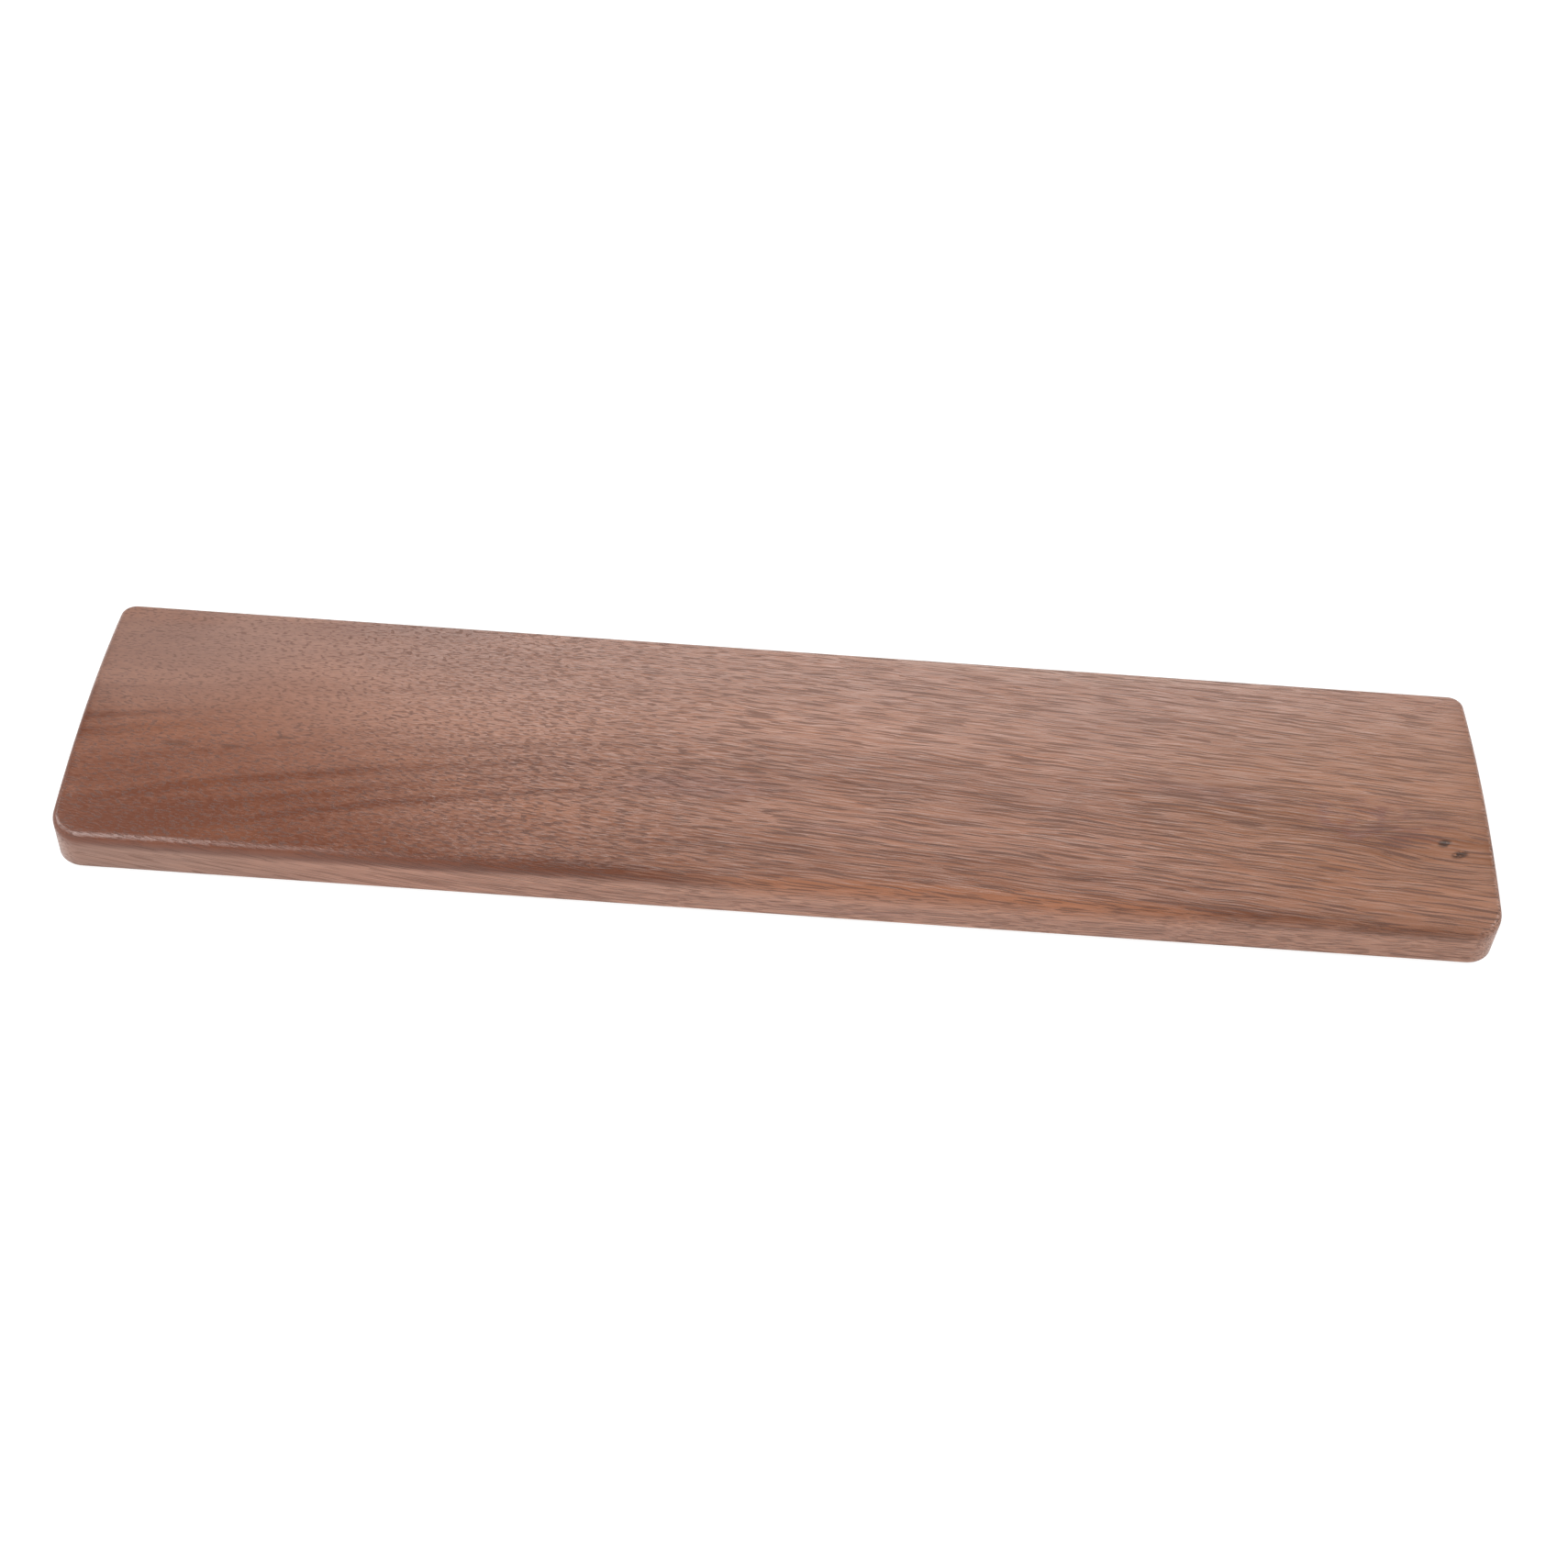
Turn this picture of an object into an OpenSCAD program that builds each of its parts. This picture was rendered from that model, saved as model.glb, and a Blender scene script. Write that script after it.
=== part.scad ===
// Wrist rest for a keyboard: a solid walnut board with an arched top that slopes down to
// the palm side. It stands on six rubber feet, glued into shallow pockets in its underside.
//
// Frame: +X runs along the board to the user's right, -Y faces the user, +Z is up. The
// origin is the middle of the footprint, at the height of the surface the feet stand on.

/* [Board] */
// Length of the board, end to end
board_length = 360; // [240:1:460]
// Depth of the board, from the palm side to the keyboard side
board_depth = 80; // [60:1:110]
// Thickness of the board at the crest of its top
board_height = 18; // [15:0.5:30]
// Radius of the arched top, seen from an end
arch_radius = 245; // [180:1:600]
// Distance from the middle of the board back to the crest of the arch
crest_offset = 20; // [0:1:30]

/* [Edges and corners] */
// Radius of the two corners on the palm side, seen from above
front_corner_radius = 7.5; // [5:0.5:15]
// Radius of the two corners on the keyboard side, seen from above
back_corner_radius = 4; // [2.5:0.5:15]
// Round on the top edge of the palm side, where the wrists roll over it
palm_round = 2.8; // [1:0.1:4]
// Round on the top edge of both ends and of the keyboard side
rim_round = 1.5; // [0.5:0.1:2.4]

/* [Feet] */
// Diameter of a rubber foot
foot_diameter = 12; // [8:0.5:16]
// Thickness of a rubber foot
foot_thickness = 2.2; // [1.8:0.1:4]
// How far the feet stand out below the board
foot_stand_out = 1; // [0.5:0.1:1.5]
// Round on the lower edge of a foot
foot_edge_round = 0.4; // [0.1:0.1:0.6]
// Distance from an end of the board to the middle of its outer feet
foot_end_inset = 26; // [14:1:60]
// Distance from a long side of the board to the middle of its feet
foot_side_inset = 15; // [12:1:26]

/* [Pockets and glue] */
// Clearance between a foot and the wall of its pocket, all round
pocket_clearance = 0.3; // [0.1:0.05:0.8]
// Thickness of the adhesive disc between a foot and the floor of its pocket
adhesive_thickness = 0.2; // [0.1:0.05:0.5]
// How much smaller the adhesive disc is than the foot, in radius
adhesive_margin = 0.5; // [0:0.1:1.5]

/* [Hidden] */
$fn = 96;
arch_facets = 720;     // sides of the large arch in the preview mesh
cut_over = 1;          // how far a cutting shape runs past the solid that it cuts
corner_step = 22.5;    // turn between the bars that round the top edge at a corner
end_bars = 6;          // bars that round the arched top edge of an end

half_length = board_length / 2;
half_depth = board_depth / 2;
board_top = foot_stand_out + board_height;
arch_axis = [0, crest_offset, board_top - arch_radius];
foot_radius = foot_diameter / 2;
pocket_top = foot_thickness + adhesive_thickness;
foot_x = half_length - foot_end_inset;
foot_y = half_depth - foot_side_inset;

// Height of the arched top at a distance y behind the middle of the board.
function top_at(y) = arch_axis[2] + sqrt(pow(arch_radius, 2) - pow(y - arch_axis[1], 2));

// Slope of the arched top at y, as a rise over a run towards the keyboard side.
function slope_at(y) = (arch_axis[1] - y) / (top_at(y) - arch_axis[2]);

// What lies outside a round of radius r, in the corner between a wall that faces +X and
// a top that falls by `fall` degrees towards it. The sharp corner is at the origin.
module corner_waste(r, fall = 0) {
    reach = r + cut_over;
    translate([-r, r * (sin(fall) - 1) / cos(fall)])
        difference() {
            polygon([[0, 0], [reach, 0], [reach, reach], reach * [sin(fall), cos(fall)]]);
            circle(r);
        }
}

// Bar of waste along the top edge of the board, at a point of the edge where the wall
// faces the compass direction `facing`. It follows the slope of the arch at that point.
module edge_waste(point, facing, r, length) {
    slope = slope_at(point[1]);
    translate([point[0], point[1], top_at(point[1])])
        rotate([0, 0, facing])
        rotate([atan(slope * cos(facing)), 0, 0])
        rotate([90, 0, 0])
        linear_extrude(length, center = true)
            corner_waste(r, -atan(slope * sin(facing)));
}

// The board seen from above: a rectangle with rounded corners.
module board_outline() {
    difference() {
        square([board_length, board_depth], center = true);
        for (side = [0, 1]) mirror([side, 0]) {
            translate([half_length, half_depth]) corner_waste(back_corner_radius);
            translate([half_length, -half_depth]) mirror([0, 1]) corner_waste(front_corner_radius);
        }
    }
}

// A wide drum, lying along the board, whose skin is the arched top.
module arch_drum() {
    translate(arch_axis) rotate([0, 90, 0])
        cylinder(h = board_length + 2 * cut_over, r = arch_radius, center = true, $fn = arch_facets);
}

// Short bars of waste along the arched top edge of an end of the board.
module end_edge_waste() {
    first = front_corner_radius - half_depth;
    run = board_depth - front_corner_radius - back_corner_radius;
    for (bar = [0 : end_bars - 1])
        edge_waste([half_length, first + run * (bar + 0.5) / end_bars], 0, rim_round, run);
}

// Short bars of waste round a corner of the board, from one end to one long side. The
// corner's radius is `radius`, its middle is `center`, and the round grows to side_round.
module corner_edge_waste(center, radius, toward, side_round) {
    for (turn = [corner_step : corner_step : 90 - corner_step])
        edge_waste(center + radius * [cos(turn), toward * sin(turn)], toward * turn,
                   rim_round + (side_round - rim_round) * turn / 90, 3 * radius);
}

module wood_board() {
    color("sienna")
    difference() {
        intersection() {
            translate([0, 0, foot_stand_out]) linear_extrude(board_height + cut_over) board_outline();
            arch_drum();
        }
        edge_waste([0, -half_depth], -90, palm_round, board_length + 2 * cut_over);
        edge_waste([0, half_depth], 90, rim_round, board_length + 2 * cut_over);
        for (side = [0, 1]) mirror([side, 0, 0]) {
            end_edge_waste();
            corner_edge_waste([half_length - front_corner_radius, front_corner_radius - half_depth],
                              front_corner_radius, -1, palm_round);
            corner_edge_waste([half_length - back_corner_radius, half_depth - back_corner_radius],
                              back_corner_radius, 1, rim_round);
        }
        for (column = [-1, 0, 1], row = [-1, 1])
            translate([column * foot_x, row * foot_y]) foot_pocket();
    }
}

// Round, flat-bottomed pocket for one foot, milled into the underside of the board.
module foot_pocket() {
    translate([0, 0, foot_stand_out - cut_over])
        cylinder(h = pocket_top - foot_stand_out + cut_over, r = foot_radius + pocket_clearance);
}

// One rubber foot: a low disc whose lower edge is rounded.
module foot(column, row) {
    color("dimgray")
    translate([column * foot_x, row * foot_y]) rotate_extrude()
        difference() {
            square([foot_radius, foot_thickness]);
            translate([foot_radius, 0]) mirror([0, 1]) corner_waste(foot_edge_round);
        }
}

// One disc of adhesive film, between the top of a foot and the floor of its pocket.
module adhesive(column, row) {
    color("lightgray")
    translate([column * foot_x, row * foot_y, foot_thickness])
        cylinder(h = adhesive_thickness, r = foot_radius - adhesive_margin);
}

wood_board();
foot(-1, -1);  // foot_front_left
foot(0, -1);  // foot_front_middle
foot(1, -1);  // foot_front_right
foot(-1, 1);  // foot_back_left
foot(0, 1);  // foot_back_middle
foot(1, 1);  // foot_back_right
adhesive(-1, -1);  // adhesive_front_left
adhesive(0, -1);  // adhesive_front_middle
adhesive(1, -1);  // adhesive_front_right
adhesive(-1, 1);  // adhesive_back_left
adhesive(0, 1);  // adhesive_back_middle
adhesive(1, 1);  // adhesive_back_right
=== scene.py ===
"""Keyboard wrist rest: a walnut board with an arched top, on six rubber feet.

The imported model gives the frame: metres, +X to the user's right, -Y towards the user, +Z up,
the feet standing on z = 0. Lengths inside the materials are millimetres.
"""

import math

import bmesh
import bpy
import numpy as np
from mathutils import Matrix, Vector


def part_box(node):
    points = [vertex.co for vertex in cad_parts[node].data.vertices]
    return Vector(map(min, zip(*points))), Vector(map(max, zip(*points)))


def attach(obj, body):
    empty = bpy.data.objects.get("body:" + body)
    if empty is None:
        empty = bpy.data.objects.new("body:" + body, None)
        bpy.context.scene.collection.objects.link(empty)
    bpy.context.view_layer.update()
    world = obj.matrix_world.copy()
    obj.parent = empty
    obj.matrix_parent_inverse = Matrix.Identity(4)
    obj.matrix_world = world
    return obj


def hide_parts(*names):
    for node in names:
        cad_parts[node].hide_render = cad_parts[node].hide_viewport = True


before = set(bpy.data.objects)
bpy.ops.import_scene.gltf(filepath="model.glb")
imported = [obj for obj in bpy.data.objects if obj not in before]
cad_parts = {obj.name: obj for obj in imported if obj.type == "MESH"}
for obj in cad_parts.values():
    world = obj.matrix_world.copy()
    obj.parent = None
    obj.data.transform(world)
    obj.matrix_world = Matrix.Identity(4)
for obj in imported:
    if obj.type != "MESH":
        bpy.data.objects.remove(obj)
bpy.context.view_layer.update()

# ---------------------------------------------------------------------------------------
# The board. One piece of walnut, planed to an arch that is nearly level at the keyboard side
# and slopes down to the palm side. Its top edges are routed round, the palm side's the most,
# and six shallow pockets for the feet are milled into its underside.
# ---------------------------------------------------------------------------------------

MM = 0.001
board_low, board_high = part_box("wood_board")
half_length = (board_high.x - board_low.x) / 2
half_depth = (board_high.y - board_low.y) / 2
arch_radius = 245 * MM
crest_y = 20 * MM
front_corner = 7.5 * MM
back_corner = 4 * MM
palm_round = 2.8 * MM
rim_round = 1.5 * MM
bottom_ease = 0.4 * MM
pocket_gap = 0.3 * MM  # between a foot and the wall of its pocket
pocket_ease = 0.15 * MM
level_border = 0.6 * MM  # of the underside, inside its edge and round each pocket
inner_share = 0.9  # of the radius, for a second ring inside a flat disc
merge_distance = 0.002 * MM
crease_angle = 35  # degrees, past which an edge stays sharp

LONG_STEPS = 72  # faces along a long side
CORNER_STEPS = 16  # faces round a corner
END_STEPS = 26  # faces along an end, between its corners
WALL_STEPS = 4
ROUND_STEPS = 12
EASE_STEPS = 4
CIRCLE_STEPS = 64  # faces round a foot or a pocket


def top_height(y):
    """Height of the arched top at depth y: a circle about an axis that runs along X."""
    return board_high.z - arch_radius + np.sqrt(arch_radius**2 - (y - crest_y) ** 2)


def top_slope(y):
    """Rise of the arched top over its run towards +Y: the circle's slope at y."""
    return (crest_y - y) / np.sqrt(arch_radius**2 - (y - crest_y) ** 2)


def board_outline():
    """The outline seen from above, anticlockwise from the left end of the palm side.

    A rectangle whose corners are quarter circles. Gives the points, the outward normals
    and, for each point, the radius of the round on the top edge there: rim_round on the
    ends and the keyboard side, growing evenly round the front corners to palm_round.
    """
    x_front, x_back = half_length - front_corner, half_length - back_corner
    y_front, y_back = front_corner - half_depth, half_depth - back_corner
    along = np.linspace(-1, 1, LONG_STEPS + 1)
    turn = np.linspace(0, np.pi / 2, CORNER_STEPS + 1)
    front = np.stack([along * x_front, np.full(along.shape, -half_depth)], 1)
    back = np.stack([-along * x_back, np.full(along.shape, half_depth)], 1)
    low_turn = np.stack([np.sin(turn), -np.cos(turn)], 1)
    high_turn = np.stack([np.cos(turn), np.sin(turn)], 1)
    low_corner = [x_front, y_front] + front_corner * low_turn
    high_corner = [x_back, y_back] + back_corner * high_turn
    up = np.linspace(y_front, y_back, END_STEPS + 1)[1:-1]
    end = np.stack([np.full(up.shape, half_length), up], 1)
    side = np.concatenate([low_corner[1:], end, high_corner[:-1]])
    side_normal = np.concatenate([low_turn[1:], np.tile([1.0, 0.0], (len(up), 1)), high_turn[:-1]])
    side_round = np.full(len(side), rim_round)
    side_round[:CORNER_STEPS] += (palm_round - rim_round) * (1 - turn[1:] / (np.pi / 2))
    mirror = np.array([-1.0, 1.0])
    points = np.concatenate([front, side, back, side[::-1] * mirror])
    front_normal = np.tile([0.0, -1.0], (len(front), 1))
    normals = np.concatenate([front_normal, side_normal, -front_normal, side_normal[::-1] * mirror])
    front_round, back_round = np.full(len(front), palm_round), np.full(len(back), rim_round)
    rounds = np.concatenate([front_round, side_round, back_round, side_round[::-1]])
    return points, normals, rounds


def board_shell():
    """Rings of points from the underside, up the wall and over the round, to the top.

    Each ring is the outline moved inwards by an inset and lifted: a level border of the
    underside, a quarter circle for the eased bottom edge, a straight wall, then the arc
    that touches both the wall and the arch. The arc's middle lies one radius inside the
    wall, and as far below the arch as the fall of the top towards the wall asks for.
    """
    points, normals, rounds = board_outline()
    fall = -np.arctan(top_slope(points[:, 1]) * normals[:, 1])
    wall_top = top_height(points[:, 1]) + rounds * (np.sin(fall) - 1) / np.cos(fall)
    wall_low = board_low.z + bottom_ease
    ones = np.ones(len(points))
    ease = np.linspace(0, np.pi / 2, EASE_STEPS + 1)[:, None]
    wall = np.linspace(0, 1, WALL_STEPS + 1)[1:, None]
    over = np.linspace(0, 1, ROUND_STEPS + 1)[1:, None] * (np.pi / 2 - fall)
    inset = np.concatenate(
        [
            (bottom_ease + level_border) * ones[None],
            bottom_ease * (1 - np.sin(ease)) * ones,
            wall * 0 * ones,
            rounds * (1 - np.cos(over)),
        ]
    )
    height = np.concatenate(
        [
            board_low.z * ones[None],
            (wall_low - bottom_ease * np.cos(ease)) * ones,
            wall_low + wall * (wall_top - wall_low),
            wall_top + rounds * np.sin(over),
        ]
    )
    plan = points[None] - normals[None] * inset[..., None]
    return np.concatenate([plan, height[..., None]], 2)


def board_top(rim):
    """The arched top inside the last ring: rows along the board, each drawn straight from
    its left end on the ring to its right end, and every inner point lifted onto the arch."""
    side = 2 * CORNER_STEPS + END_STEPS - 1
    front, right, back, left = np.split(rim, np.cumsum([LONG_STEPS + 1, side, LONG_STEPS + 1]))
    share = np.linspace(0, 1, LONG_STEPS + 1)[None, :, None]
    middle = left[::-1, None] * (1 - share) + right[:, None] * share
    rows = np.concatenate([front[None], middle, back[None, ::-1]])
    rows[1:-1, 1:-1, 2] = top_height(rows[1:-1, 1:-1, 1])
    return rows


def circles(middle, radii, heights):
    """Level circles about one upright axis: the middle plus each radius times the cosine
    and the sine of an angle that goes once round, at the heights given."""
    turn = np.linspace(0, 2 * np.pi, CIRCLE_STEPS, endpoint=False)
    r, z, turn = np.asarray(radii)[:, None], np.asarray(heights)[:, None], turn[None]
    flat = [middle.x + r * np.cos(turn), middle.y + r * np.sin(turn), z + 0 * turn]
    return np.stack(flat, 2)


FEET = [f"{row}_{column}" for row in ("front", "back") for column in ("left", "middle", "right")]


def foot_place(name):
    """Middle and radius of a foot, from its CAD node."""
    low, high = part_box(f"foot_{name}")
    return (low + high) / 2, (high.x - low.x) / 2


def pocket_rings(name):
    """A pocket, from the level border round it, over its eased rim and up its wall, to the
    middle of its floor."""
    middle, radius = foot_place(name)
    floor_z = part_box(f"adhesive_{name}")[1].z
    radius += pocket_gap
    rim = radius + pocket_ease
    return circles(
        middle,
        [rim + level_border, rim, radius, radius, inner_share * radius, 0],
        [board_low.z, board_low.z, board_low.z + pocket_ease, floor_z, floor_z, floor_z],
    )


def joined_mesh(name, grids):
    """One piece from grids of points (rows, columns, 3), each marked closed or open.

    Neighbouring points of a grid make a quad, a closed grid's last column meets its first,
    points that coincide, such as seams and poles, are merged, and level triangles fill
    whatever is still open.
    """
    points, faces, first = [], [], 0
    for grid, closed in grids:
        rows, columns = grid.shape[:2]
        index = first + np.arange(rows * columns).reshape(rows, columns)
        if closed:
            index = np.concatenate([index, index[:, :1]], 1)
        low, high = index[:-1], index[1:]
        quads = np.stack([low[:, :-1], low[:, 1:], high[:, 1:], high[:, :-1]], -1)
        faces.append(quads.reshape(-1, 4))
        points.append(grid.reshape(-1, 3))
        first += rows * columns
    mesh = bpy.data.meshes.new(name)
    mesh.from_pydata(np.concatenate(points), [], np.concatenate(faces))
    bm = bmesh.new()
    bm.from_mesh(mesh)
    bmesh.ops.remove_doubles(bm, verts=bm.verts, dist=merge_distance)
    open_edges = [edge for edge in bm.edges if edge.is_boundary]
    if open_edges:
        bmesh.ops.triangle_fill(bm, edges=open_edges, use_beauty=True)
    bmesh.ops.recalc_face_normals(bm, faces=bm.faces)
    bm.to_mesh(mesh)
    bm.free()
    mesh.shade_smooth()
    mesh.set_sharp_from_angle(angle=math.radians(crease_angle))
    piece = bpy.data.objects.new(name, mesh)
    bpy.context.scene.collection.objects.link(piece)
    return piece


def make_board():
    """The board as one closed skin. The shell, the top and the pockets leave only the
    underside between them open, and that is level, so flat triangles fill it."""
    shell = board_shell()
    pockets = [(pocket_rings(name), True) for name in FEET]
    return joined_mesh("walnut_board", [(shell, True), (board_top(shell[-1]), False), *pockets])


class Shade:
    """A socket of a material. + - * / on it and numbers or sockets add Math nodes."""

    def __init__(self, tree, socket):
        self.tree, self.socket = tree, socket

    def node(self, kind, settings=(), sockets=(), output=0):
        """Adds any node: its settings first, then the values or links of its sockets."""
        made = self.tree.nodes.new(kind)
        for key, value in dict(settings).items():
            setattr(made, key, value)
        for key, value in dict(sockets).items():
            socket = made.inputs[key]
            if isinstance(value, Shade):
                self.tree.links.new(value.socket, socket)
            else:
                socket.default_value = value
        return Shade(self.tree, made.outputs[output])

    def maths(self, operation, *values):
        """Adds a Math node."""
        return self.node("ShaderNodeMath", {"operation": operation}, enumerate(values))

    def __add__(self, other):
        return self.maths("ADD", self, other)

    def __sub__(self, other):
        return self.maths("SUBTRACT", self, other)

    def __rsub__(self, other):
        return self.maths("SUBTRACT", other, self)

    def __mul__(self, other):
        return self.maths("MULTIPLY", self, other)

    def __truediv__(self, other):
        return self.maths("DIVIDE", self, other)

    def __rtruediv__(self, other):
        return self.maths("DIVIDE", other, self)

    __radd__, __rmul__ = __add__, __mul__


def start_material(name):
    """An empty material, and its Object coordinates in millimetres."""
    material = bpy.data.materials.new(name)
    material.use_nodes = True
    tree = material.node_tree
    tree.nodes.clear()
    here = Shade(tree, tree.nodes.new("ShaderNodeTexCoord").outputs["Object"])
    in_mm = here.node(
        "ShaderNodeVectorMath", {"operation": "SCALE"}, {"Vector": here, "Scale": 1 / MM}
    )
    split = here.node("ShaderNodeSeparateXYZ", {}, {0: in_mm})
    axes = [Shade(tree, output) for output in split.socket.node.outputs]
    return material, axes


def finish_material(material, sockets):
    """Gives a material its surface: a Principled shader with these values and links."""
    tree = material.node_tree
    surface = Shade(tree, tree.nodes.new("ShaderNodeOutputMaterial").inputs["Surface"])
    shader = surface.node("ShaderNodeBsdfPrincipled", {}, sockets)
    tree.links.new(shader.socket, surface.socket)
    return material


def step(value, low, high):
    """0 below low, 1 above high, and a smooth S between them. low may be the higher one."""
    return value.node(
        "ShaderNodeMapRange",
        {"interpolation_type": "SMOOTHSTEP", "clamp": True},
        {"Value": value, "From Min": low, "From Max": high, "To Min": 0.0, "To Max": 1.0},
    )


def mix(amount, first, second):
    """The first colour where amount is 0, the second where it is 1, and mixed in between."""
    first, second = (c if isinstance(c, Shade) else (*c, 1.0) for c in (first, second))
    return amount.node(
        "ShaderNodeMix",
        {"data_type": "RGBA", "clamp_factor": True},
        {0: amount, 6: first, 7: second},
        output=2,
    )


def noise(x, y, z, sizes, detail=2.0, rough=0.5, shift=0.0):
    """Noise from 0 to 1 whose blotches are about sizes = (along, across, deep) in mm."""
    cells = [axis / size + shift for axis, size in zip((x, y, z), sizes)]
    return x.node(
        "ShaderNodeTexNoise",
        {"noise_dimensions": "3D"},
        {
            "Vector": x.node("ShaderNodeCombineXYZ", {}, enumerate(cells)),
            "Scale": 1.0,
            "Detail": detail,
            "Roughness": rough,
        },
    )


def patch(x, y, middle, reach, tilt=0.0):
    """1 in the middle of an oval of half lengths reach, falling smoothly to 0 at its edge.

    The oval is turned by tilt degrees. The distance from its middle, along and across it,
    is counted in half lengths, and the sum of the two squares is stepped from 1 down to 0.
    """
    cos, sin = math.cos(math.radians(tilt)), math.sin(math.radians(tilt))
    along = ((x - middle[0]) * cos + (y - middle[1]) * sin) / reach[0]
    across = ((y - middle[1]) * cos - (x - middle[0]) * sin) / reach[1]
    return step(along * along + across * across, 1.0, 0.0)


# The wood's colours: pale and dark wood, then what is laid over it. Linear red, green, blue.
TAN = (0.298, 0.153, 0.105)
UMBER = (0.085, 0.026, 0.012)
ORANGE = (0.25, 0.098, 0.048)
VIOLET = (0.133, 0.062, 0.055)
FACE_GREY = (0.13, 0.1, 0.085)
KNOT_BROWN = (0.13, 0.047, 0.036)
PORE_BROWN = (0.068, 0.026, 0.016)
PIN_KNOT_BLACK = (0.035, 0.015, 0.009)
PIN_MARK_BROWN = (0.058, 0.025, 0.016)

# Darker wood in the top of the board, each an oval in millimetres along the board and across
# the rings: its middle, its half lengths and how dark it is. Broad bands first, then streaks.
DARK_WOOD = [
    ((0, -7), (270, 11), 0.24),
    ((-190, -12), (150, 24), 0.42),
    ((135, -2), (60, 10), 0.24),
    ((-105, 34), (42, 6), 0.4),
    ((-172, 36), (26, 9), 0.25),
    ((-95, -7.2), (110, 1.3), 0.34),
    ((-85, -10.9), (105, 1.1), 0.3),
    ((-80, -13.9), (105, 1.1), 0.42),
    ((-65, -3.0), (50, 0.9), 0.2),
    ((-100, 13), (42, 2.2), 0.16),
    ((-172, 8.6), (26, 1.1), 0.3),
    ((-172, 5.0), (30, 1.4), 0.2),
    ((-42, 3.5), (14, 0.9), 0.25),
    ((30, -8.4), (45, 0.9), 0.24),
    ((40, -24.4), (115, 0.9), 0.24),
    ((40, 20.0), (100, 0.8), 0.2),
    ((80, 24.5), (90, 0.9), 0.2),
    ((90, 28.3), (80, 0.8), 0.2),
    ((110, 2.3), (45, 1.6), 0.24),
    ((115, -1.7), (50, 1.0), 0.2),
    ((130, -5.8), (50, 1.0), 0.26),
    ((150, -8.6), (18, 3.6), 0.26),
    ((-35, 22.3), (38, 1.6), 0.22),
    ((90, 3.0), (55, 1.0), 0.18),
    ((-12, -25.6), (42, 1.2), 0.26),
    ((-30, -15.7), (32, 1.3), 0.24),
    ((28, -16.6), (22, 1.2), 0.2),
]
# More of it, as ovals in millimetres along and across the board: middle, half lengths, tilt in
# degrees and how dark. A negative darkness makes paler wood. A few entries are painted shade, as
# marked.
DARK_PATCHES = [
    # Darker wood along the palm side of the top, partly painted shade where that side holds less
    # sheen.
    ((0, -44), (260, 24), 0, 0.32),
    ((-200, -5), (110, 70), 0, 0.35),
    # Darker wood at the front left, partly painted shade where that side holds less sheen.
    ((-115, -43), (135, 18), 0, 0.4),
    ((-62, -40.5), (60, 5), 0, 0.5),
    ((130, -41), (70, 5), 0, 0.5),
    ((-170, 42), (130, 28), 0, 0.15),
    ((-98, -23), (66, 3.6), 6.5, 0.3),
    ((-130, -14), (45, 5), 9, -0.2),
    ((-95, 26), (45, 7), 3, 0.16),
    ((-180, -2), (12, 12), 0, 0.25),
    ((-182, 32), (24, 10), 0, -0.25),
    ((-165, 11), (36, 4), 2, -0.2),
    ((128, -24), (34, 4), -3, 0.36),
    ((20, 12), (60, 11), 0, -0.15),
    # This entry and the next are painted shade: dark lines along the lower palm edge, under the
    # glint at the left and at the right corner.
    ((-110, -40), (75, 1.6), 0, 0.5),
    ((165, -40), (30, 1.4), 0, 0.4),
    ((-70, 30), (65, 18), 0, 0.16),
    ((-40, -26), (50, 9), 0, 0.24),
    ((-100, -1.5), (28, 3), 8, 0.2),
    ((-88, 20), (34, 9), 4, 0.12),
    ((156, -25), (28, 2.2), -2, 0.26),
    ((118, -37.5), (32, 2.2), -1.5, 0.3),
    ((-25, -19), (30, 2.5), 3, 0.2),
    ((75, -21), (32, 1.8), -1, 0.22),
    ((45, -30), (60, 4), -1, 0.14),
    ((118, 2), (32, 4), 0, 0.22),
    ((140, 15), (60, 14), 0, 0.14),
    ((173, -17), (14, 6), 0, 0.24),
    ((20, -24.5), (22, 2), 0, -0.16),
    ((105, -7), (20, 3), 0, -0.16),
    ((165, -4), (24, 5), 0, 0.16),
    ((-88, -28), (40, 5), 3, 0.14),
    ((183, 0), (7, 80), 0, 0.4),
    ((-183, 0), (6, 80), 0, 0.55),
]
# Tints of the top: middle, half lengths, strength and colour of each. Reddish and grey at the
# left, a painted sheen along the keyboard side, orange at the right.
TINTS_AND_SHEEN = [
    ((-160, -34), (130, 40), 0.18, (0.17, 0.055, 0.03)),
    ((-178, 26), (62, 34), 0.2, (0.2, 0.165, 0.155)),
    # Painted sheen: a pale wash along the keyboard edge.
    ((75, 47), (125, 15), 0.3, (0.32, 0.22, 0.17)),
    ((165, -5), (95, 50), 0.2, (0.25, 0.1, 0.03)),
]
# Middles and half lengths of the violet bands, the pin knots and the small dark marks.
VIOLET_BANDS = [((-20, -12.5), (28, 4)), ((20, -20.5), (24, 1.2)), ((108, 1), (24, 4))]
PIN_KNOTS = [((167.5, -14.2), (2.4, 1.5)), ((171.0, -17.4), (3.0, 1.4))]
PIN_KNOT_TILT = 20
PIN_MARKS = [((-154, -10.5), (5, 1.1)), ((-140, -10.2), (4, 0.7)), ((-127.5, -6.3), (4, 0.7))]


def log_cosh(value):
    """The logarithm of the hyperbolic cosine: falls, bends smoothly about 0, then rises."""
    return value.maths("LOGARITHM", value.maths("COSH", value), math.e)


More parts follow.
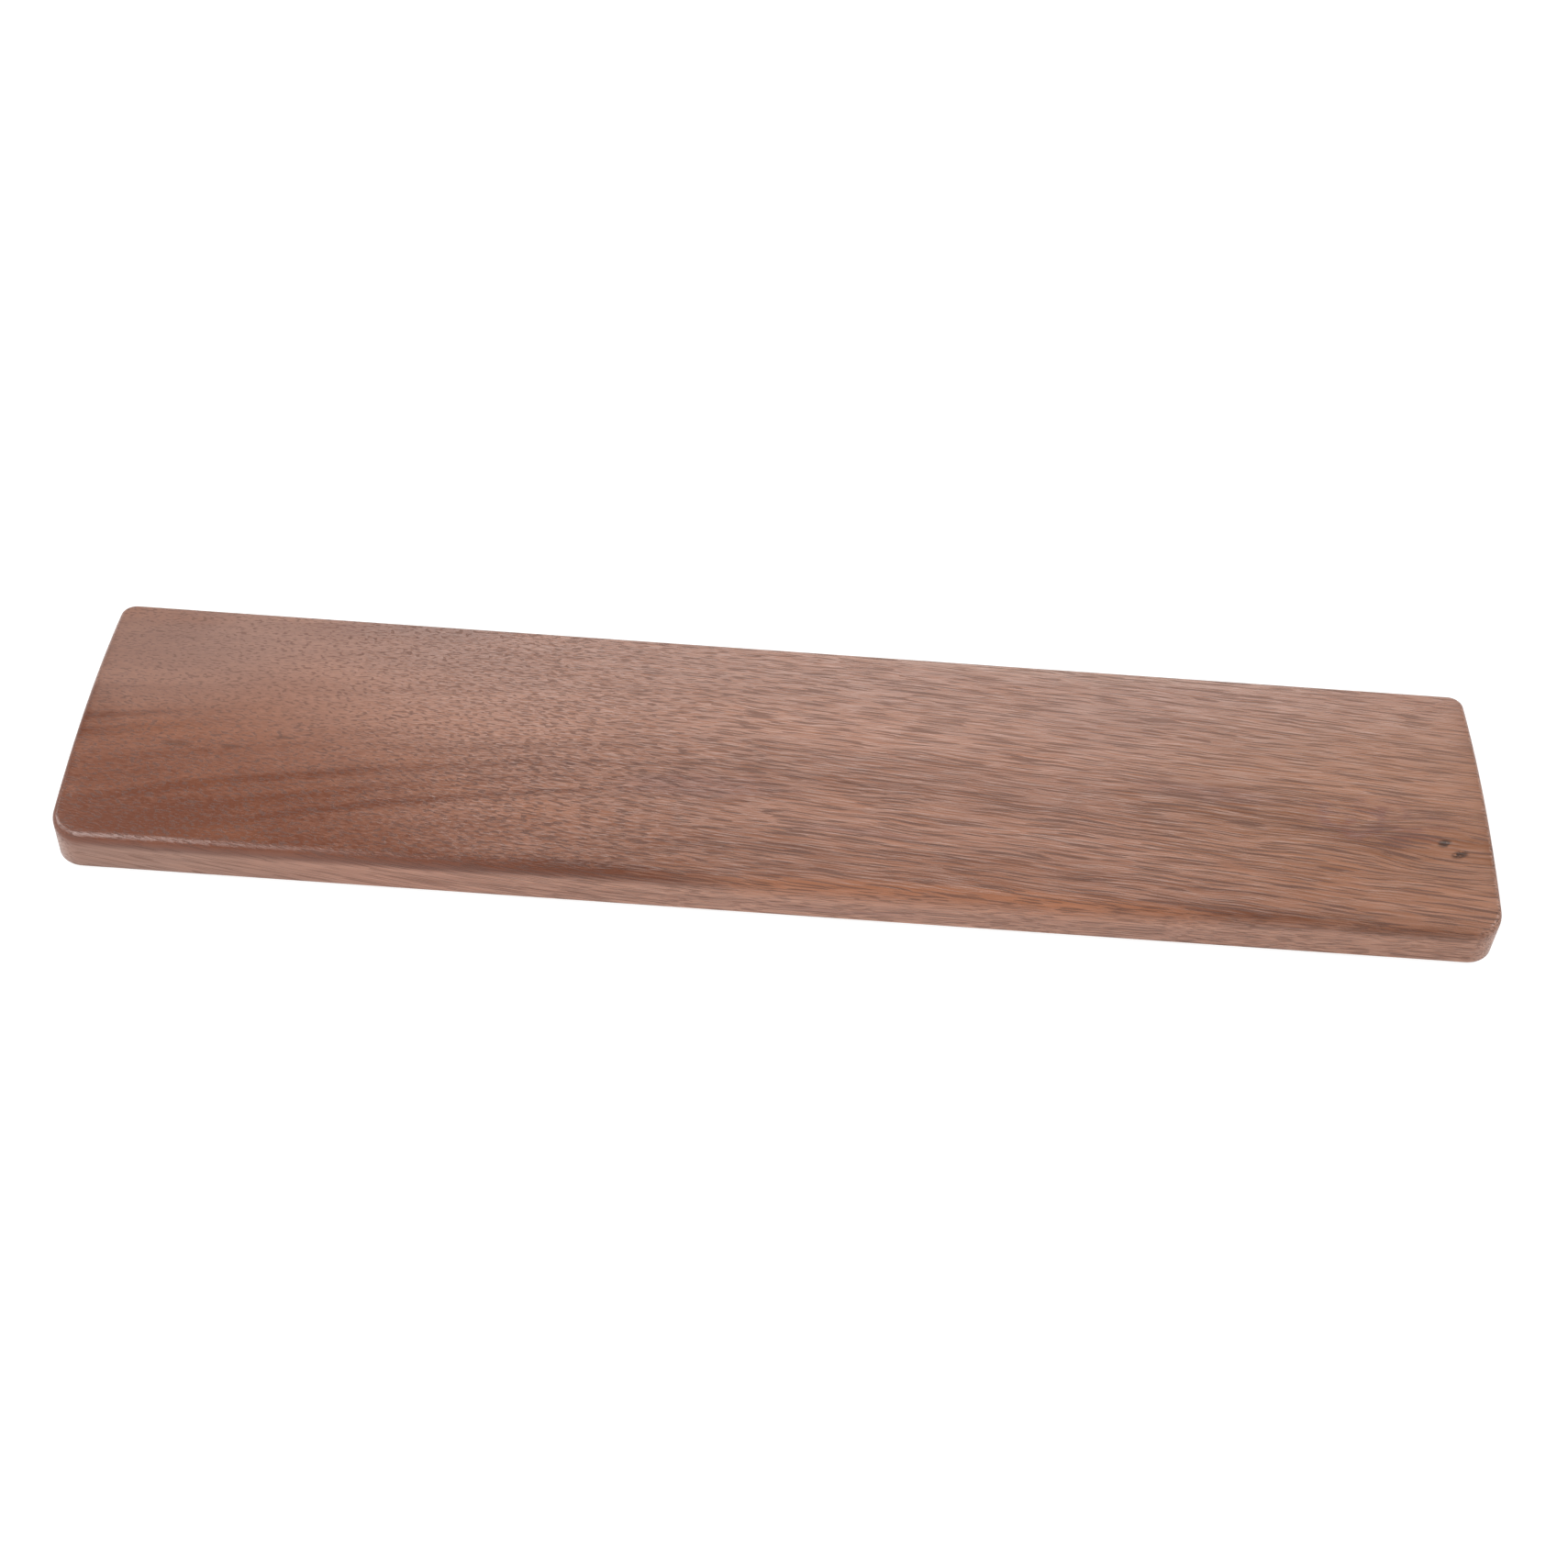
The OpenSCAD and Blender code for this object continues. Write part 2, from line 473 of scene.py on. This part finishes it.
def wood_grain(x, y, z):
    """Where a point lies across the growth rings and along the fibres, in millimetres.

    Seen from above, the rings climb from the left end towards the keyboard side, crest near
    the middle and fall a little to the right, where they lie closer together. They also lean.
    `ring` counts millimetres across them from a ring near the middle of the top. The fibres
    follow that bend in part, and at the left they dip into the wood, which cuts their pores
    short. Rings and fibres waver, and part round the pin knots.
    """
    rise = x * 0.035 - log_cosh((x + 35) / 50) * 5 + 1.14
    dip = x * 0.1 - log_cosh((x + 50) / 45) * 3.9
    parted = (y + 15.5) * patch(x, y, (169, -15.5), (26, 11)) * 0.5
    waver = (noise(x, y, z, (30, 10, 10), detail=1.0, shift=7.3) - 0.5) * 2.4
    ripple = (noise(x, y, z, (7, 4, 4), detail=1.0, shift=1.9) - 0.5) * 0.4
    ring = (y - rise - parted + waver - z * 1.5 + 25) * (x * 0.0013 + 1)
    fibre_y = y - rise * 0.3 + x * 0.05 - parted + waver + ripple
    fibre_z = z + dip + ripple * 0.4
    along = x + fibre_y * 9 + fibre_z * 5
    return ring, (along, fibre_y, fibre_z)


def figure_with_painted_light(x, y, z, ring, below):
    """How dark the figure makes the wood: growth bands and streaks, the ovals listed above,
    a painted shade line low on the palm edge, painted light on two zones of the walls, and
    darker wood low down."""
    band = noise(x + ring * 20, ring, z, (260, 4.5, 120), shift=3.1)
    streak = noise(x + ring * 15, ring, z, (70, 1.1, 60), rough=0.6, shift=11.7)
    dark = (band - 0.5) * 0.5 + (streak - 0.5) * 0.3
    above = 1 - below
    for middle, reach, tilt, depth in DARK_PATCHES:
        dark = dark + patch(x, y, middle, reach, tilt) * above * depth
    for middle, reach, depth in DARK_WOOD:
        dark = dark + patch(x, ring, middle, reach) * above * depth
    # Painted shade: a dark line low on the palm edge's round at the left, under the glint.
    painted_shade_line = patch(x, z, (-130, 8.8), (75, 1.4)) * step(y, -30, -38)
    # Painted light: two paler zones on the walls, one low down and one just under the palm edge.
    painted_light_low, painted_light_high = patch(x, z, (25, 1.5), (80, 3.5)), patch(x, z, (30, 7.4), (220, 1.8))
    dark = dark + painted_shade_line * 0.3 - painted_light_low * 0.25 - painted_light_high * 0.26
    return dark + (step(x, -110, -180) * 0.12 + step(x, 80, 150) * 0.06 + 0.08) * below


def tinted_with_sheen(colour, x, y, z, ring, below):
    """The wood's colour with its tints and a painted sheen along the keyboard side, grey low down
    at the left, an orange streak on the palm edge, orange clouds, violet bands, and a brown mottle
    beside the pin knots."""
    for middle, reach, strength, tint in TINTS_AND_SHEEN:
        colour = mix(patch(x, y, middle, reach) * strength, colour, tint)
    colour = mix(step(x, -90, -160) * below * 0.3, colour, FACE_GREY)
    warm = step(patch(x, y, (48, -39.8), (76, 4.2)), 0, 0.6) * step(z, 6, 9)
    cloud = noise(x, y, z, (40, 14, 14), shift=5.9)
    colour = mix(warm * 0.5 + step(cloud, 0.5, 0.85) * 0.3, colour, ORANGE)
    for middle, reach in VIOLET_BANDS:
        colour = mix(patch(x, ring, middle, reach) * 0.3, colour, VIOLET)
    mottle = step(noise(x, y, z, (5, 2.5, 2.5), shift=17.0), 0.4, 0.7)
    return mix(patch(x, y, (150, -9), (26, 10)) * mottle * 0.7, colour, KNOT_BROWN)


def marked(colour, x, y, z):
    """The wood's colour with its two speckled pin knots and three small dark marks."""
    speck = step(noise(x, y, z, (0.9, 0.7, 0.9), detail=1.0, shift=31.0), 0.3, 0.45)
    for middle, reach in PIN_KNOTS:
        knot = patch(x, y, middle, reach, PIN_KNOT_TILT)
        colour = mix(knot * speck, colour, PIN_KNOT_BLACK)
    for middle, reach in PIN_MARKS:
        colour = mix(patch(x, y, middle, reach) * 0.5, colour, PIN_MARK_BROWN)
    return colour


def walnut_material():
    """Walnut as a solid: the figure runs through the wood, so ends and underside match.

    Its darkness is the figure's, which holds some painted light and shade, plus the fine
    fibres', and pores are short dark furrows along the fibres. Both are strongest at the palm
    side. At the left end the fibres are fainter and the surface is smoother.
    """
    material, (x, y, z) = start_material("walnut_satin")
    ring, fibres = wood_grain(x, y, z)
    below = step(z, 11, 7.5)  # 0 from the palm edge up, 1 low on the walls and underneath
    fibre = noise(*fibres, (16, 0.45, 0.35), detail=1.0)
    pore = step(noise(*fibres, (14, 0.45, 0.25), detail=0.0, shift=23.0), 0.58, 0.66)
    vigour = (step(x, -170, -20) * 0.4 + 0.6) * (step(y, 10, -20) * 0.35 + 1)
    figure_and_painted_light = figure_with_painted_light(x, y, z, ring, below)
    colour = mix(figure_and_painted_light * 0.58 + (fibre - 0.5) * vigour * 0.75 + 0.355, TAN, UMBER)
    colour = tinted_with_sheen(colour, x, y, z, ring, below)
    pore_depth = (step(y, 20, -20) * 0.15 + 0.55) * (1 - below * 0.3)
    colour = marked(mix(pore * pore_depth, colour, PORE_BROWN), x, y, z)

    height = (fibre * vigour * 0.3 - pore * 0.1) * (step(x, -140, -30) * 0.8 + 0.2)
    bump = x.node("ShaderNodeBump", {}, {"Height": height, "Distance": MM, "Strength": 1.0})
    sockets = {
        "Base Color": colour,
        "Roughness": pore * 0.3 + 0.3,
        "Normal": bump,
        "Specular IOR Level": 0.45,
        "Coat Weight": 0.08,
        "Coat Roughness": 0.3,
    }
    return finish_material(material, sockets)


board = make_board()
board.data.materials.append(walnut_material())
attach(board, "root")
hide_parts("wood_board")

# ---------------------------------------------------------------------------------------
# The feet. Six moulded discs of dark rubber that keep the board from sliding and hold its
# underside off the desk. Each sits in its pocket and stands out of it by a millimetre.
# ---------------------------------------------------------------------------------------

foot_round = 0.4 * MM
foot_dish = 0.06 * MM
dish_share = 0.8  # of the foot's radius
SOLE_STEPS = 13
FOOT_ROUND_STEPS = 6
RUBBER_BLACK = (0.018, 0.018, 0.02)
DUST_GREY = (0.06, 0.057, 0.052)


def make_foot(name):
    """A foot: its half section carried round an upright axis.

    The section runs from the middle of the sole, round the moulded edge, which is a quarter
    circle, up the side, to the middle of the top. The sole is dished by foot_dish times
    (1 - r squared) squared, where r goes from 0 in the middle to 1 at dish_share of the radius.
    """
    middle, radius = foot_place(name)
    low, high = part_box(f"foot_{name}")
    turn = np.linspace(-np.pi / 2, 0, FOOT_ROUND_STEPS + 1)
    sole = np.linspace(0, radius - foot_round, SOLE_STEPS + 1)[:-1]
    dish = foot_dish * (1 - np.clip(sole / (dish_share * radius), 0, 1) ** 2) ** 2
    edge = radius - foot_round * (1 - np.cos(turn))
    edge_z = low.z + foot_round * (1 + np.sin(turn))
    radii = np.concatenate([sole, edge, [radius, inner_share * radius, 0]])
    heights = np.concatenate([low.z + dish, edge_z, [high.z, high.z, high.z]])
    return joined_mesh(f"rubber_foot_{name}", [(circles(middle, radii, heights), True)])


def rubber_material():
    """Dark moulded rubber with a fine matt grain and a little dust."""
    material, (x, y, z) = start_material("foot_rubber_matt")
    grain = noise(x, y, z, (0.25, 0.25, 0.25), detail=3.0)
    dust = step(noise(x, y, z, (5, 5, 5), detail=4.0, shift=2.0), 0.5, 0.8)
    colour = mix(dust * 0.35, RUBBER_BLACK, DUST_GREY)
    bump = x.node("ShaderNodeBump", {}, {"Height": grain * 0.05, "Distance": MM, "Strength": 0.6})
    sockets = {"Base Color": colour, "Roughness": 0.62 + dust * 0.2, "Normal": bump}
    return finish_material(material, sockets)


rubber = rubber_material()
for foot_name in FEET:
    foot = make_foot(foot_name)
    foot.data.materials.append(rubber)
    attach(foot, "root")
    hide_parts(f"foot_{foot_name}")

# ---------------------------------------------------------------------------------------
# The adhesive. Thin discs of double-sided film, die cut a little smaller than the feet,
# that hold them to the floors of the pockets. The CAD discs stay and get their finish.
# ---------------------------------------------------------------------------------------

FILM_CREAM = (0.80, 0.76, 0.66)
FILM_STRAW = (0.66, 0.62, 0.52)


def adhesive_material():
    """Pale, slightly yellow film with the faint mottle of its tacky coat."""
    material, (x, y, z) = start_material("adhesive_film")
    mottle = noise(x, y, z, (1.5, 1.5, 1.5), detail=3.0)
    colour = mix(mottle, FILM_CREAM, FILM_STRAW)
    return finish_material(material, {"Base Color": colour, "Roughness": 0.35 + mottle * 0.2})


film = adhesive_material()
for foot_name in FEET:
    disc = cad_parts[f"adhesive_{foot_name}"]
    disc.data.materials.clear()
    disc.data.materials.append(film)

# ---------------------------------------------------------------------------------------
# The studio. A pale floor that glows, soft panels behind, at the sides and low at the front
# corners, a tall narrow one that draws the glint on the palm edge at the left, and the
# camera, which looks down on the palm side from the user's place.
# ---------------------------------------------------------------------------------------

floor_reach = 3.0
CARD_GREY = (0.18, 0.18, 0.18, 1.0)
WHITE = (1.0, 1.0, 1.0, 1.0)


def make_floor():
    """A wide level square of matt card, with a glow that keeps it white at the board."""
    mesh = bpy.data.meshes.new("studio_floor")
    signs = [(-1, -1), (1, -1), (1, 1), (-1, 1)]
    corners = [(floor_reach * x, floor_reach * y, 0) for x, y in signs]
    mesh.from_pydata(corners, [], [(0, 1, 2, 3)])
    floor = bpy.data.objects.new("studio_floor", mesh)
    bpy.context.scene.collection.objects.link(floor)
    material, _ = start_material("floor_card")
    sockets = {
        "Base Color": CARD_GREY,
        "Roughness": 0.8,
        "Emission Color": WHITE,
        "Emission Strength": 0.88,
    }
    mesh.materials.append(finish_material(material, sockets))
    return floor


make_floor()


def add_panel(name, place, size, power, aim=(0, 0, 0), mirrored=True):
    """A soft rectangular light at a place, turned to face the aim. One that isn't mirrored
    lights the wood but leaves no glare on its satin finish."""
    light = bpy.data.lights.new(name, "AREA")
    light.shape = "RECTANGLE"
    light.size, light.size_y = size
    light.energy = power
    panel = bpy.data.objects.new(name, light)
    bpy.context.scene.collection.objects.link(panel)
    panel.location = place
    panel.visible_camera = False
    panel.visible_glossy = mirrored
    panel.rotation_mode = "QUATERNION"
    panel.rotation_quaternion = (Vector(aim) - Vector(place)).to_track_quat("-Z", "Y")


add_panel("back_panel", (0.08, 0.98, 0.72), (0.9, 0.56), 6.7)
add_panel("side_panel_left", (-1.1, 0.0, 1.0), (0.8, 0.8), 13.2)
add_panel("side_panel_right", (1.1, 0.0, 1.0), (0.8, 0.8), 13.9)
add_panel("front_panel_left", (-1.1, -0.95, 0.25), (0.9, 0.35), 9.8, mirrored=False)
add_panel("front_panel_right", (1.1, -0.95, 0.25), (0.9, 0.35), 9.8, mirrored=False)
add_panel("left_panel", (-0.54, -0.54, 0.88), (0.16, 0.8), 7, aim=(-0.54, 0, 0))


def make_world():
    """Soft light from all round: bright up to a little above the horizon, dim overhead."""
    world = bpy.data.worlds.new("studio")
    bpy.context.scene.world = world
    world.use_nodes = True
    tree = world.node_tree
    tree.nodes.clear()
    direction = Shade(tree, tree.nodes.new("ShaderNodeTexCoord").outputs["Generated"])
    height = direction.node("ShaderNodeSeparateXYZ", {}, {0: direction}, output="Z")
    light = 0.15 + step(height, 0.42, 0.12) * 1.1
    sky = direction.node("ShaderNodeBackground", {}, {"Color": WHITE, "Strength": light})
    output = tree.nodes.new("ShaderNodeOutputWorld")
    tree.links.new(sky.socket, output.inputs["Surface"])


make_world()
bpy.context.scene.view_settings.view_transform = "Standard"

camera_aim = Vector((0.4, -2.9, 10.0)) * MM
camera_distance = 586.6 * MM
camera_heading = 0.35  # degrees round from straight in front, towards the right
camera_elevation = 45.05  # degrees above the desk
camera_roll = 3.745  # degrees
camera_lens = 52.25  # the focal length, and below it the sensor's width, in millimetres
camera_sensor = 36.0
camera_clip = (0.01, 20.0)


def add_camera():
    """A camera that looks at camera_aim from the given heading and height, rolled a little."""
    heading, elevation = math.radians(camera_heading), math.radians(camera_elevation)
    level = math.cos(elevation)
    back = Vector((math.sin(heading) * level, -math.cos(heading) * level, math.sin(elevation)))
    data = bpy.data.cameras.new("camera")
    data.lens, data.sensor_width = camera_lens, camera_sensor
    data.clip_start, data.clip_end = camera_clip
    camera = bpy.data.objects.new("camera", data)
    bpy.context.scene.collection.objects.link(camera)
    upright = (-back).to_track_quat("-Z", "Y").to_matrix()
    turn = upright @ Matrix.Rotation(math.radians(camera_roll), 3, "Z")
    camera.matrix_world = Matrix.Translation(camera_aim + back * camera_distance) @ turn.to_4x4()
    bpy.context.scene.camera = camera


add_camera()
